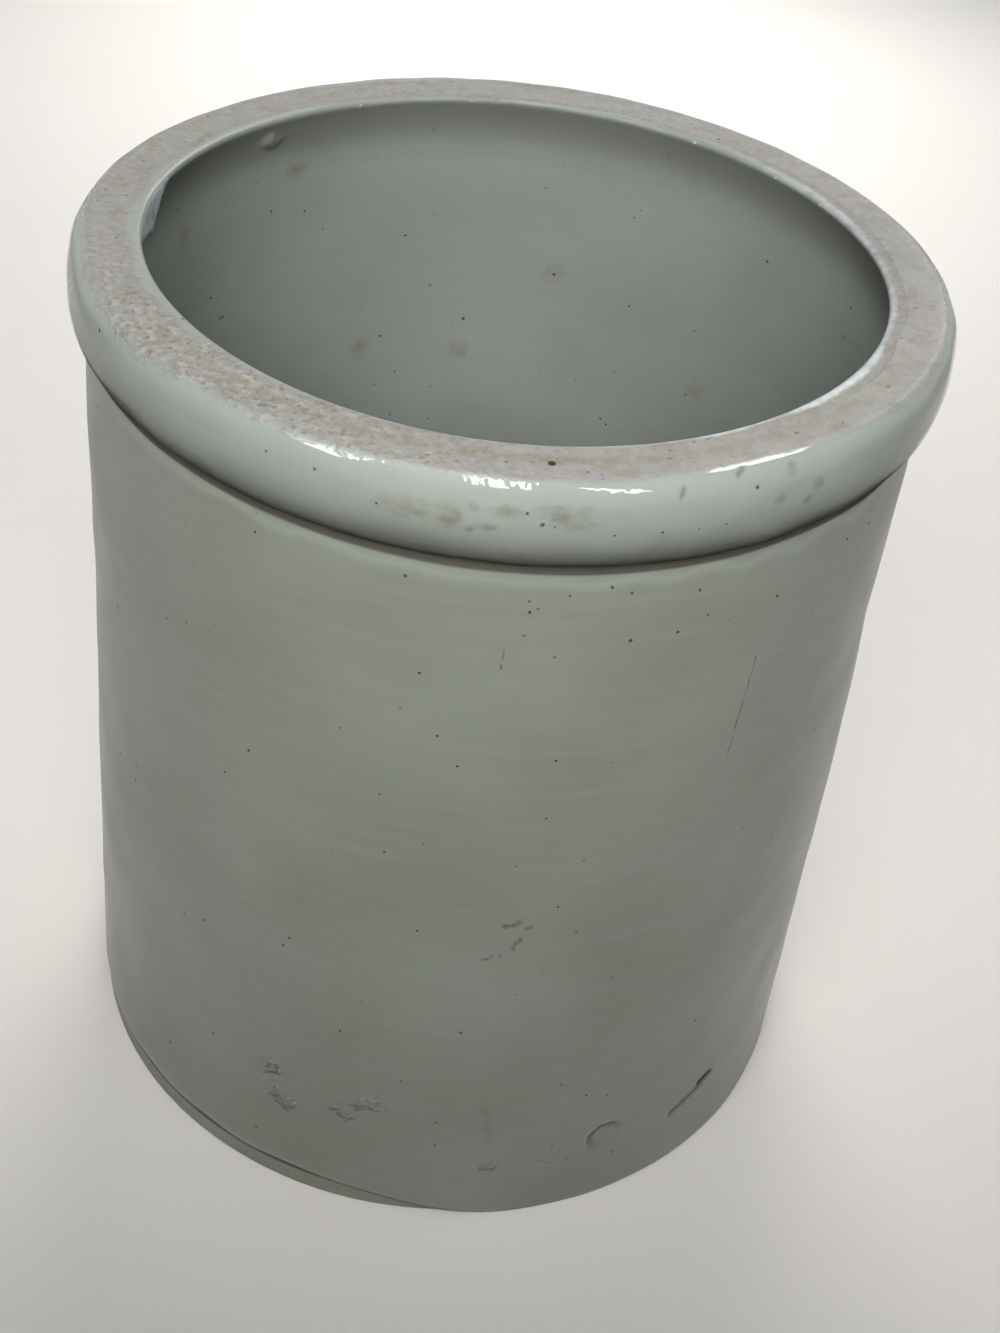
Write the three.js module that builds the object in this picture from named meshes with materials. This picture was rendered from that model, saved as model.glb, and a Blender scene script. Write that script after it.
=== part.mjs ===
// A large open stoneware crock: three clay pieces luted together, and the glaze coats on them.
// Millimetres, +Z up. The origin is the centre of the underside, on the crock's axis.
import * as THREE from "three";

// The wall's outside, measured over the glaze.
const WALL_RADIUS = 171;
const WAIST_AT_MIDDLE = 0.8;
const WAIST_AT_TOP = 3;
const WALL_THICKNESS = 15;
const WALL_TOP = 361;

// The slab that closes the bottom, and the cove that it turns up into inside the wall.
const FOOT_SETBACK = 1;
const FOOT_ROUND = 3;
const FOOT_EDGE_HEIGHT = 10;
const FLOOR_THICKNESS = 18;
const COVE_RADIUS = 12;
const COVE_END_ANGLE = Math.PI / 3;

// The rolled rim: its bulge outside, the bare land on top and the lip that narrows the mouth.
const RIM_HEIGHT = 35;
const ROLL_PROJECTION = 7.5;
const ROLL_BELLY_HEIGHT = 17;
const ROLL_SHOULDER = 7.5;
const ROLL_FULLNESS = 2.5;
const LAND_WIDTH = 17;
const LIP_ROUND_WIDTH = 4;
const LIP_ROUND_HEIGHT = 4;
const LIP_FACE_HEIGHT = 8;

// The tongue on top of the wall, which the rim is luted over.
const TONGUE_WIDTH = 6;
const TONGUE_HEIGHT = 6;

// The glaze coat, and the gap that separate solids keep where they don't meet on a flat.
const GLAZE_THICKNESS = 0.7;
const FIT_GAP = 0.3;

// How finely round things are cut.
const TURN_STEPS = 64;
const ARC_STEPS = 5;
const WALL_STEPS = 5;
const COVE_STEPS = 3;
const UNDERCUT_STEPS = 4;

const GLAZE_DEPTH = GLAZE_THICKNESS + FIT_GAP;
const RIM_TOP = WALL_TOP + RIM_HEIGHT;
const BELLY = WALL_TOP + ROLL_BELLY_HEIGHT;
const LIP_EDGE = RIM_TOP - LIP_ROUND_HEIGHT;
const LIP_UNDERSIDE = LIP_EDGE - LIP_FACE_HEIGHT;

const rollBase = wallOutside(WALL_TOP);
const rollRadius = rollBase + ROLL_PROJECTION;
const landOuter = rollRadius - ROLL_SHOULDER;
const landInner = landOuter - LAND_WIDTH;
const mouthRadius = landInner - LIP_ROUND_WIDTH;

const CLAY = { color: 0xb3a48f, roughness: 0.85, metalness: 0 };
const GLAZE = { color: 0xa3a896, roughness: 0.28, metalness: 0 };

// The glazed outside of the wall at a height: a shallow curve through foot, middle and top.
function wallOutside(height) {
  const share = (height - FOOT_EDGE_HEIGHT) / (WALL_TOP - FOOT_EDGE_HEIGHT);
  const bow = 4 * WAIST_AT_MIDDLE - WAIST_AT_TOP;
  return WALL_RADIUS - bow * share - (WAIST_AT_TOP - bow) * share * share;
}

// The clay face inside the crock at a height, up the wall and on to the lip of the rim.
function clayInside(height) {
  const wall = wallOutside(Math.min(height, WALL_TOP)) - GLAZE_DEPTH - WALL_THICKNESS;
  const share = THREE.MathUtils.clamp((height - WALL_TOP) / (LIP_UNDERSIDE - WALL_TOP), 0, 1);
  const turn = (1 - Math.cos(Math.PI * share)) / 2;
  return wall + (mouthRadius + GLAZE_DEPTH - wall) * turn;
}

// Points of a quarter ellipse, or of a part of it, between two angles. Fullness over 2 squares it up.
function arc(centreRadius, centreHeight, width, height, from, to, steps, fullness = 2) {
  const bulge = (value) => Math.sign(value) * Math.abs(value) ** (2 / fullness);
  return Array.from({ length: steps + 1 }, (_, i) => {
    const angle = from + (to - from) * i / steps;
    return [centreRadius + width * bulge(Math.cos(angle)), centreHeight + height * bulge(Math.sin(angle))];
  });
}

// Points at even heights on a face whose radius depends on the height.
function face(radiusAt, from, to, steps) {
  return Array.from({ length: steps + 1 }, (_, i) => {
    const height = from + (to - from) * i / steps;
    return [radiusAt(height), height];
  });
}

// The roll's outside from the groove to the land, a given depth below the glazed face.
function rollFace(depth) {
  const lower = arc(rollBase, BELLY, ROLL_PROJECTION - depth, ROLL_BELLY_HEIGHT - depth,
    -Math.PI / 2, 0, ARC_STEPS);
  const upper = arc(landOuter, BELLY, ROLL_SHOULDER - depth, RIM_TOP - BELLY - depth,
    0, Math.PI / 2, ARC_STEPS, ROLL_FULLNESS);
  return [...lower, ...upper.slice(1)];
}

// A face inside the crock from the middle of the floor to the lip, a given depth into the hollow.
function insideFace(depth) {
  const at = (height) => clayInside(height) - depth;
  const floor = FLOOR_THICKNESS + depth;
  const coveTop = FLOOR_THICKNESS + FIT_GAP + COVE_RADIUS;
  const radius = COVE_RADIUS + FIT_GAP - depth;
  const coveCentre = at(coveTop) - radius;
  return [
    [0, floor],
    ...arc(coveCentre, coveTop, radius, radius, -Math.PI / 2, 0, COVE_STEPS),
    ...face(at, coveTop, WALL_TOP, WALL_STEPS).slice(1),
    ...face(at, WALL_TOP, LIP_UNDERSIDE, UNDERCUT_STEPS).slice(1),
    [at(LIP_EDGE), LIP_EDGE - FIT_GAP],
  ];
}

// A turned solid from its section, given as points that run anticlockwise with radius to the right.
function turned(name, points, look, closed = true) {
  const section = closed ? [...points, points[0]] : points;
  const profile = section.map(([radius, height]) => new THREE.Vector2(radius, height));
  const geometry = new THREE.LatheGeometry(profile, TURN_STEPS);
  geometry.rotateX(Math.PI / 2);
  const mesh = new THREE.Mesh(geometry, new THREE.MeshStandardMaterial(look));
  mesh.name = name;
  return mesh;
}

// The bottom: an edge that shows under the wall, and a dished plug that the wall stands round.
function baseSlab() {
  const footRadius = WALL_RADIUS - FOOT_SETBACK;
  const coveRadius = COVE_RADIUS + FIT_GAP;
  const coveHeight = FLOOR_THICKNESS + coveRadius;
  const coveCentre = clayInside(coveHeight) - coveRadius;
  const coveEnd = COVE_END_ANGLE - Math.PI / 2;
  const cove = arc(coveCentre, coveHeight, coveRadius, coveRadius, coveEnd, -Math.PI / 2, COVE_STEPS);
  const ledge = cove[0][1];
  const plugRadius = clayInside(ledge) - FIT_GAP;
  return turned("base_slab", [
    [0, 0],
    ...arc(footRadius - FOOT_ROUND, FOOT_ROUND, FOOT_ROUND, FOOT_ROUND, -Math.PI / 2, 0, COVE_STEPS),
    [footRadius, FOOT_EDGE_HEIGHT],
    [plugRadius, FOOT_EDGE_HEIGHT],
    [plugRadius, ledge],
    ...cove,
    [0, FLOOR_THICKNESS],
  ], CLAY, false);
}

// The middle of the wall's thickness at the top, where the tongue stands.
function tongueMiddle() {
  return (clayInside(WALL_TOP) + wallOutside(WALL_TOP) - GLAZE_DEPTH) / 2;
}

// The wall: it stands on the slab's edge, and its tongue locates the rim.
function wall() {
  const outside = (height) => wallOutside(height) - GLAZE_DEPTH;
  const tongueInner = tongueMiddle() - TONGUE_WIDTH / 2;
  const tongueOuter = tongueMiddle() + TONGUE_WIDTH / 2;
  return turned("wall", [
    ...face(outside, FOOT_EDGE_HEIGHT, WALL_TOP, WALL_STEPS),
    [tongueOuter, WALL_TOP],
    [tongueOuter, WALL_TOP + TONGUE_HEIGHT],
    [tongueInner, WALL_TOP + TONGUE_HEIGHT],
    [tongueInner, WALL_TOP],
    ...face(clayInside, WALL_TOP, FOOT_EDGE_HEIGHT, WALL_STEPS),
  ], CLAY);
}

// The rim: a thick rolled coil, slotted underneath for the wall's tongue.
function rimRoll() {
  const slotInner = tongueMiddle() - TONGUE_WIDTH / 2 - FIT_GAP;
  const slotOuter = tongueMiddle() + TONGUE_WIDTH / 2 + FIT_GAP;
  const slotTop = WALL_TOP + TONGUE_HEIGHT + FIT_GAP;
  const seatOuter = wallOutside(WALL_TOP) - GLAZE_DEPTH;
  const landEdge = landOuter - FIT_GAP;
  return turned("rim_roll", [
    [clayInside(WALL_TOP), WALL_TOP],
    [slotInner, WALL_TOP],
    [slotInner, slotTop],
    [slotOuter, slotTop],
    [slotOuter, WALL_TOP],
    [seatOuter, WALL_TOP],
    [seatOuter, WALL_TOP + GLAZE_DEPTH],
    ...rollFace(GLAZE_DEPTH),
    [landEdge, RIM_TOP - GLAZE_DEPTH],
    [landEdge, RIM_TOP],
    ...arc(landInner, LIP_EDGE, LIP_ROUND_WIDTH, LIP_ROUND_HEIGHT, Math.PI / 2, Math.PI, ARC_STEPS),
    [clayInside(LIP_EDGE), LIP_EDGE],
    ...face(clayInside, LIP_UNDERSIDE, WALL_TOP, UNDERCUT_STEPS).slice(0, -1),
  ], CLAY);
}

// The coat on the outside of the wall, from the seam at the foot to the groove under the roll.
function wallGlaze() {
  const bottom = FOOT_EDGE_HEIGHT + FIT_GAP;
  const top = WALL_TOP - FIT_GAP;
  const back = (height) => wallOutside(height) - GLAZE_THICKNESS;
  return turned("wall_glaze", [
    ...face(wallOutside, bottom, top, WALL_STEPS),
    ...face(back, top, bottom, WALL_STEPS),
  ], GLAZE);
}

// The coat on the roll, from the groove up to the wiped land.
function rimGlaze() {
  return turned("rim_glaze", [
    ...rollFace(0),
    ...rollFace(GLAZE_THICKNESS).reverse(),
  ], GLAZE);
}

// The lining: floor, cove, wall and the underside and face of the lip.
function insideGlaze() {
  return turned("inside_glaze", [
    ...insideFace(FIT_GAP),
    ...insideFace(GLAZE_DEPTH).reverse(),
  ], GLAZE, false);
}

const crock = new THREE.Group();
crock.add(baseSlab(), wall(), rimRoll(), wallGlaze(), rimGlaze(), insideGlaze());

export default crock;
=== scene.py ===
"""A large open stoneware crock on a pale floor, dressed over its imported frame. Metres, +Z up."""
import math

import bpy
import numpy as np
from mathutils import Matrix, Vector


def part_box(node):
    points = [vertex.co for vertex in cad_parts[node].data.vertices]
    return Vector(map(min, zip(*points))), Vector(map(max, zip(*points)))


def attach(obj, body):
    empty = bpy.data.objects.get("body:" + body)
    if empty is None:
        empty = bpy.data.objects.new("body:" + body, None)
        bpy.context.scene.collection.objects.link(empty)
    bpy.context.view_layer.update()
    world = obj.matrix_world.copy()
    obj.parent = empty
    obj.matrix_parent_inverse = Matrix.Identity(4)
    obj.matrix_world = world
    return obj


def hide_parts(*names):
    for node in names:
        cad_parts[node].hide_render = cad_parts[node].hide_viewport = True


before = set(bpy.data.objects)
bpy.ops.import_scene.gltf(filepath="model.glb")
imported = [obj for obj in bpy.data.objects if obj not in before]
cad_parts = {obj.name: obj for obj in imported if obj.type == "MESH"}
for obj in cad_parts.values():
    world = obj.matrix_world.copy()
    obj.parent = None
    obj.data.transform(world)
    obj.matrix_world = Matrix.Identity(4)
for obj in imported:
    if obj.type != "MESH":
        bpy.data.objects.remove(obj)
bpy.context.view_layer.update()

MM = 0.001

# The photograph's camera: its place, its turn and its focal length in pixels
PHOTO_WIDTH, PHOTO_HEIGHT = 1000, 1333
FOCAL_PIXELS = 1930
SENSOR_MM = 36
CAMERA_PLACE = np.array([0, -705.3, 736.2]) * MM
CAMERA_PAN, CAMERA_PITCH, CAMERA_ROLL = 0.0184, 0.6639, 0.1256

# Sizes that the pieces share with their solids
FOOT_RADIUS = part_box("base_slab")[1][0]
WALL_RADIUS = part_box("wall_glaze")[1][0]
ROLL_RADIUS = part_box("rim_glaze")[1][0]
RIM_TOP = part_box("rim_roll")[1][2]
WALL_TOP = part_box("rim_roll")[0][2]
WAIST_AT_MIDDLE = 0.8 * MM
WAIST_AT_TOP = 3 * MM
WALL_DEPTH = 17 * MM
FLOOR_TOP = 19 * MM
COVE_RADIUS = 11.3 * MM
ROLL_PROJECTION = 7.5 * MM
ROLL_BELLY = WALL_TOP + 17 * MM
ROLL_FULLNESS = 2.5

# Sizes that follow the photograph where the solids are plainer
SEAM = 12 * MM
FOOT_ROUND = 1.2 * MM
LAND_WIDTH = 19 * MM
LIP_ROUND = 2 * MM
UNDERCUT_DROP = 20 * MM
LIP_SETBACK = 0.8 * MM
LAND_OUTER = ROLL_RADIUS - ROLL_PROJECTION
LAND_INNER = LAND_OUTER - LAND_WIDTH
MOUTH_RADIUS = LAND_INNER - LIP_ROUND
LIP_EDGE = RIM_TOP - LIP_ROUND

# Depths below the finished face: the back of a glaze coat, the clay behind it, and the bare clay
COAT_BACK = 3 * MM
CLAY_BEHIND = 3.2 * MM
BARE_DEPTH = 0.3 * MM

# How both coats end on the land, where they fade, where the lining gets a painted highlight on the lip's
# edge, and where the bare clay is crusty
LAP_WIDTH, ROLL_LAP_WIDTH = 14 * MM, 11 * MM
EDGE_DIP, EDGE_RUN = 2 * MM, 4 * MM
FADE_LEAST, FADE_MORE = 2.5 * MM, 5 * MM
FADE_ANGLE, FADE_RIGHT_ANGLE = math.radians(205), math.radians(15)
LAP_LEAST, LAP_MORE, LAP_ANGLE = 5.2 * MM, 5.8 * MM, math.radians(190)
LAP_RIGHT, LAP_RIGHT_ANGLE = 3 * MM, math.radians(20)
LAP_SWAY = 0.7 * MM
ROLL_LINE, ROLL_LINE_SWAY = 4.5 * MM, 1.2 * MM
LINE_SHIFT, LINE_SHIFT_ANGLE, LINE_SHIFT_POWER = 1.6 * MM, math.radians(-57), 80
LIP_HIGHLIGHT_STRENGTH, LIP_HIGHLIGHT_ANGLE, LIP_HIGHLIGHT_POWER = 0.8, math.radians(-40), 0.25
CRUST_ANGLE = math.radians(232)

# What firing and the potter's hand left: warping, waves, the groove's tuck, the foot's ledge and rings
RIM_SQUARING, SQUARING_FROM, SQUARING_FULL = 0.9 * MM, 230 * MM, 370 * MM
SWELLING, SWELLING_HEIGHT, SWELLING_REACH = 1.7 * MM, 325 * MM, 42 * MM
DENT, DENT_HEIGHT, DENT_REACH = 1.4 * MM, 270 * MM, 35 * MM
UNEVENNESS = 0.3 * MM
WALL_WAVES, ROLL_WAVES, LAND_WAVES = 0.12 * MM, 0.1 * MM, 0.05 * MM
GROOVE_TUCK, GROOVE_REACH = 2 * MM, 5 * MM
SEAM_ANGLE, SEAM_FULL, SEAM_REACH = math.radians(222), math.radians(28), math.radians(62)
FOOT_CUT, FOOT_COVER, FOOT_GAP = 0.2 * MM, 1.6 * MM, 0.4 * MM
LEDGE_SHARE, LEDGE_RUN, RUN_DOWN = 0.5, 6 * MM, 30 * MM
FOOT_TURN, FOOT_TURN_HEIGHT = 0.8 * MM, 4 * MM
RING_DEPTH, RING_SPACING, RING_RADIUS_SHARE = 0.09 * MM, 17 * MM, 0.3

# Mesh fineness: columns round the axis, how they crowd to the near side, and front rows to a back row
WALL_TURNS, WALL_CROWDING = 512, 0.45
RIM_TURNS, RIM_CROWDING = 900, 0.15
LINING_TURNS, LINING_CROWDING = 512, -0.2
HIDDEN_TURNS, HIDDEN_STRIDE = 128, 24
NEAR_SIDE = -math.pi / 2

# Marks on the wall, by their pixels in the photograph
CRESCENT_AT, CRESCENT_RADIUS, CRESCENT_DEPTH, CRESCENT_LIP = (604, 1136), 10 * MM, 1.3 * MM, 0.5 * MM
# The bruise's raised edge, which gets a painted highlight, and the painted shadow under it, as shares of
# its radius
CRESCENT_EDGE_SHARE, CRESCENT_EDGE_WIDTH = 1.04, 0.07
CRESCENT_SHADOW_SHARE, CRESCENT_SHADOW_WIDTH = 0.74, 0.18
CRESCENT_STEEP, CRESCENT_LEAN, CRESCENT_SIDE = 0.45, 0.65, 0.6
SCAR_FROM, SCAR_TO, SCAR_WIDTH, SCAR_DEPTH = (669, 1113), (701, 1083), 4.5 * MM, 0.6 * MM
SCAR_PIT_FROM, SCAR_PIT_TO, SCAR_PIT_WIDTH, SCAR_PIT_DEPTH = (700, 1082), (709, 1073), 6.5 * MM, 0.9 * MM
CRAWLED_AT = [(271, 1068), (276, 1094), (286, 1103), (342, 1112), (358, 1103), (374, 1105), (488, 1167)]
CRAWLED_SIZE, CRAWLED_DEPTH = (11 * MM, 9 * MM), 2.4 * MM
SMEAR_FROM, SMEAR_TO, SMEAR_WIDTH = (485, 1108), (489, 1140), 6 * MM
SCAR_SHAKE_LENGTH, SCAR_SHAKE = 3 * MM, 2 * MM
SCUFFS = [((503, 926), (523, 921)), ((526, 925), (531, 927)),
          ((484, 961), (501, 956)), ((519, 940), (512, 951))]
SCUFF_WIDTH, SCUFF_SHAKE = 4 * MM, 5 * MM
SCRATCHES = [((757, 654), (725, 758)), ((502, 652), (499, 672)), ((561, 1084), (568, 1087)),
             ((551, 1152), (554, 1142)), ((561, 1160), (567, 1157)), ((534, 1160), (547, 1163))]
SCRATCH_WIDTH, SCRATCH_SHAKE = 1.3 * MM, 2 * MM
FOOT_STAIN_AT, FOOT_STAIN_SIZE = (148, 1040), (24 * MM, 14 * MM)
WALL_SPECKS_AT = [(291, 936), (461, 1032), (401, 706), (630, 640), (556, 655), (385, 850), (250, 750),
                  (213, 1033), (404, 576), (570, 595), (611, 588), (631, 596), (528, 601), (700, 587),
                  (539, 611), (708, 617), (608, 1095)]

# Marks on the roll and on the bare land
BROWN_STAINS = [((403, 508), (30 * MM, 11 * MM)), ((449, 518), (15 * MM, 14 * MM)),
                ((508, 513), (16 * MM, 7 * MM)), ((575, 525), (22 * MM, 8 * MM))]
SMUDGES = [((555, 513), (18 * MM, 8 * MM)), ((473, 506), (5 * MM, 5 * MM)), ((470, 529), (6 * MM, 4 * MM)),
           ((487, 527), (10 * MM, 4 * MM)), ((584, 511), (7 * MM, 6 * MM)), ((791, 469), (6 * MM, 7 * MM)),
           ((781, 499), (8 * MM, 6 * MM)), ((808, 498), (7 * MM, 5 * MM)), ((819, 484), (9 * MM, 7 * MM))]
DINGS = [((681, 498), (685, 487)), ((737, 476), (743, 467))]
DING_WIDTH, DING_DEPTH = 2.6 * MM, 0.35 * MM
ROLL_SPECKS_AT = [(527, 513), (542, 525), (555, 527), (759, 488), (267, 451), (314, 470), (100, 331),
                  (614, 536), (663, 534), (701, 529)]
LAND_PIT_AT, LAND_PIT_SIZE, LAND_PIT_DEPTH = (551, 463), (4 * MM, 5 * MM), 1.2 * MM
RING_STAIN_INSET, RING_STAIN_SWAY, RING_STAIN_WIDTH = 8 * MM, 1.5 * MM, 3 * MM
LAND_SPECKS_AT = [(207, 115), (719, 140), (224, 361), (105, 190), (97, 206), (135, 213), (130, 310)]
CHIP_ANGLES = np.radians([169.5, 174, 177, 185.5, 192])
CHIP_DROPS = np.array([1, 10, 16, 10, 0]) * MM

# Marks inside
DRIP_AT, DRIP_SIZE, DRIP_HEIGHT = (270, 142), (16 * MM, 9 * MM), 1.9 * MM
INSIDE_SPECKS_AT = [(430, 287), (553, 277), (545, 190), (463, 320), (629, 306), (695, 330), (765, 264),
                    (390, 414), (602, 417), (560, 132), (222, 315), (221, 319), (270, 211)]
INSIDE_STAINS_AT = [(553, 275), (697, 388), (458, 348), (360, 347), (296, 172), (186, 239)]
INSIDE_STAIN_SIZE = (16 * MM, 13 * MM)

# How strongly marks show, from 0 to 1
# The darkness of the scar, the bruise and the pit is painted shade in their hollows
SCAR_SHADE, BRUISE_SHADOW, PIT_SHADE = 0.5, 0.62, 0.9
SCUFF_DARK, DING_SHADE = 0.6, 0.45
CRAWLED_GRIME, SMEAR_STRENGTH, FOOT_STAIN_STRENGTH = 0.25, 0.4, 0.45
STAIN_STRENGTH, SMUDGE_STRENGTH = 0.6, 0.6
FOOT_DIRT, FOOT_DIRT_SWAY = 0.12, 0.1
SPECK_AND_SHADE_DARK, PINHOLE_DARK = 0.9, 0.4
CLAY_GREY, CLAY_PIT_DARK = 0.7, 0.7

# Painted shade in the groove; the glaze pooled under it, and painted highlights on raised edges; painted
# shade and grime under the roll; painted shade under the lip and the ledge
GROOVE_DARK, GROOVE_DARK_FROM, GROOVE_DARK_FULL = 0.88, 5.2 * MM, 3.8 * MM
POOLED_AND_HIGHLIGHT_STRENGTH, POOL_DROP, POOL_SWAY, POOL_REACH = 0.6, 7.8 * MM, 0.8 * MM, 2.5 * MM
ROLL_SHADE, ROLL_SHADE_SWAY, ROLL_SHADE_RISE, ROLL_SHADE_POWER = 0.76, 0.04, 22 * MM, 1.1
ROLL_GRIME_AND_SHADE = 0.3
LIP_SHADE, LIP_SHADE_TOP, LIP_SHADE_END = 0.42, (-0.05, 0.1), (1.7, 0.4)
LEDGE_SHADE = 0.8

# Roughness, shine and relief of glaze and clay, and sizes of specks, pinholes, grain and pits
WALL_ROUGHNESS, WALL_RELIEF = 0.29, 0.05 * MM
ROLL_ROUGHNESS, ROLL_RELIEF = 0.03, 0.3 * MM
LINING_ROUGHNESS, LINING_RELIEF = 0.3, 0.06 * MM
FOOT_ROUGHNESS = 0.4
WORN_ROUGHNESS, DARK_ROUGH_SHARE = 0.4, 0.7
CLAY_ROUGHNESS, CLAY_ROUGHEST, CLAY_SHINE = 0.48, 0.62, 0.2
SPECK_RADIUS, PINHOLE_DEPTH = 1.2 * MM, 0.2 * MM
GRAIN_RELIEF, CLAY_PIT_DEPTH = 1.4 * MM, 0.4 * MM

# Windows, by the pixels where the roll mirrors them, with width, height and panes
WINDOW_DISTANCE = 2.2
WINDOW_LIGHT = 16
PANE_SHARE = 0.75
WINDOWS = {"far_left": ((344, 454), 0.45, 1.1, 1), "left": ((480, 482), 0.34, 2, 2),
           "right": ((612, 490), 0.22, 1.4, 1), "far_right": ((769, 459), 0.4, 1, 2)}

# Soft lights: place, target, width and height, brightness, and spread in degrees
SOFT_LIGHTS = {"front": ((-0.04, -0.85, 1.05), (0, -0.1, 0.45), (0.8, 0.5), 2, 60),
               "top": ((-0.25, 0.6, 1.9), (0, 0.05, 0.39), (1.4, 1), 0.8, 180),
               "back": ((0, 1.5, 0.9), (0, 0.1, 0.2), (0.8, 1), 6.5, 180)}


def tint(red, green, blue):
    """A colour as it looks on a screen, from 0 to 255, as the linear colour that a shader takes."""
    shares = np.array([red, green, blue]) / 255
    linear = np.where(shares <= 0.04045, shares / 12.92, ((shares + 0.055) / 1.055) ** 2.4)
    return (*linear.tolist(), 1)


def smooth(low, high, value):
    """0 at low and 1 at high, with a soft step between. Low may be the greater."""
    share = np.clip((value - low) / (high - low), 0, 1)
    return share * share * (3 - 2 * share)


def waves(angle, height, seed, turns, length, count=28):
    """A random field of about unit size, with up to that many waves round and that wavelength up."""
    rng = np.random.default_rng(seed)
    around = rng.integers(-turns, turns + 1, count)
    up = rng.normal(0, 2 * np.pi / length, count)
    phase = rng.uniform(0, 2 * np.pi, count)
    field = np.zeros(np.broadcast(angle, height).shape)
    for k, m, p in zip(around, up, phase):
        field += np.cos(k * angle + m * height + p)
    return field / math.sqrt(count / 2)


def linked(name, data):
    """A new object in the scene."""
    made = bpy.data.objects.new(name, data)
    bpy.context.scene.collection.objects.link(made)
    return made


# Sections

def wall_radius(height):
    """The glazed outside of the wall: a shallow curve through foot, middle and top."""
    share = (height - SEAM) / (WALL_TOP - SEAM)
    bow = 4 * WAIST_AT_MIDDLE - WAIST_AT_TOP
    return WALL_RADIUS - bow * share - (WAIST_AT_TOP - bow) * share**2


def inside_radius(height):
    """The glazed inside, up the wall and out under the lip, which overhangs a little."""
    wall = wall_radius(np.minimum(height, WALL_TOP)) - WALL_DEPTH
    share = np.clip(1 - (LIP_EDGE - height) / UNDERCUT_DROP, 0, 1)
    return wall + (MOUTH_RADIUS - wall) * share**2


def even(points, step):
    """The same path with points at even steps."""
    points = np.array(points)
    run = np.r_[0, np.cumsum(np.hypot(*np.diff(points, axis=0).T))]
    at = np.linspace(0, run[-1], max(2, round(run[-1] / step) + 1))
    return np.stack([np.interp(at, run, points[:, i]) for i in range(2)], -1)


def arc(centre, width, height, start, end, fullness=2, steps=48):
    """Points of an ellipse between two angles in degrees. Fullness over 2 squares it up."""
    turn = np.radians(np.linspace(start, end, steps))
    cos, sin = np.cos(turn), np.sin(turn)
    across = np.sign(cos) * np.abs(cos) ** (2 / fullness)
    up = np.sign(sin) * np.abs(sin) ** (2 / fullness)
    return np.stack([centre[0] + width * across, centre[1] + height * up], -1)


def roll_face(depth):
    """The roll's outside from the groove up to the land, that depth below the finished face."""
    centre = (LAND_OUTER, ROLL_BELLY)
    width = ROLL_PROJECTION - depth
    lower = arc(centre, width, ROLL_BELLY - WALL_TOP - depth, start=-90, end=0)
    upper = arc(centre, width, RIM_TOP - ROLL_BELLY - depth, start=0, end=90, fullness=ROLL_FULLNESS)
    return np.r_[lower, upper[1:]]


def lip_face(depth):
    """Over the lip and down the inside to the wall's top, that depth below the finished face."""
    sunk = max(0, depth - LIP_ROUND)
    bend_radius = LIP_ROUND + sunk - depth
    bend = arc((LAND_INNER + sunk, LIP_EDGE - sunk), bend_radius, bend_radius, start=90, end=180)
    heights = np.linspace(LIP_EDGE - sunk, WALL_TOP, num=40)
    return np.r_[bend, np.stack([inside_radius(heights) + depth, heights], -1)[1:]]


# Turned pieces

def firing_warp(angle, height):
    """How far out it stands from a true turning: a squarish rim, a swelling left and a dent right."""
    squaring = RIM_SQUARING * np.cos(4 * angle) * smooth(SQUARING_FROM, SQUARING_FULL, height)
    left = np.maximum(0, -np.cos(angle)) ** 3
    right = np.maximum(0, np.cos(angle)) ** 3
    swelling = SWELLING * left * np.exp(-(((height - SWELLING_HEIGHT) / SWELLING_REACH) ** 2))
    dent = DENT * right * np.exp(-(((height - DENT_HEIGHT) / DENT_REACH) ** 2))
    return squaring + swelling - dent + UNEVENNESS * waves(angle, height, seed=3, turns=4, length=0.5)


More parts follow.
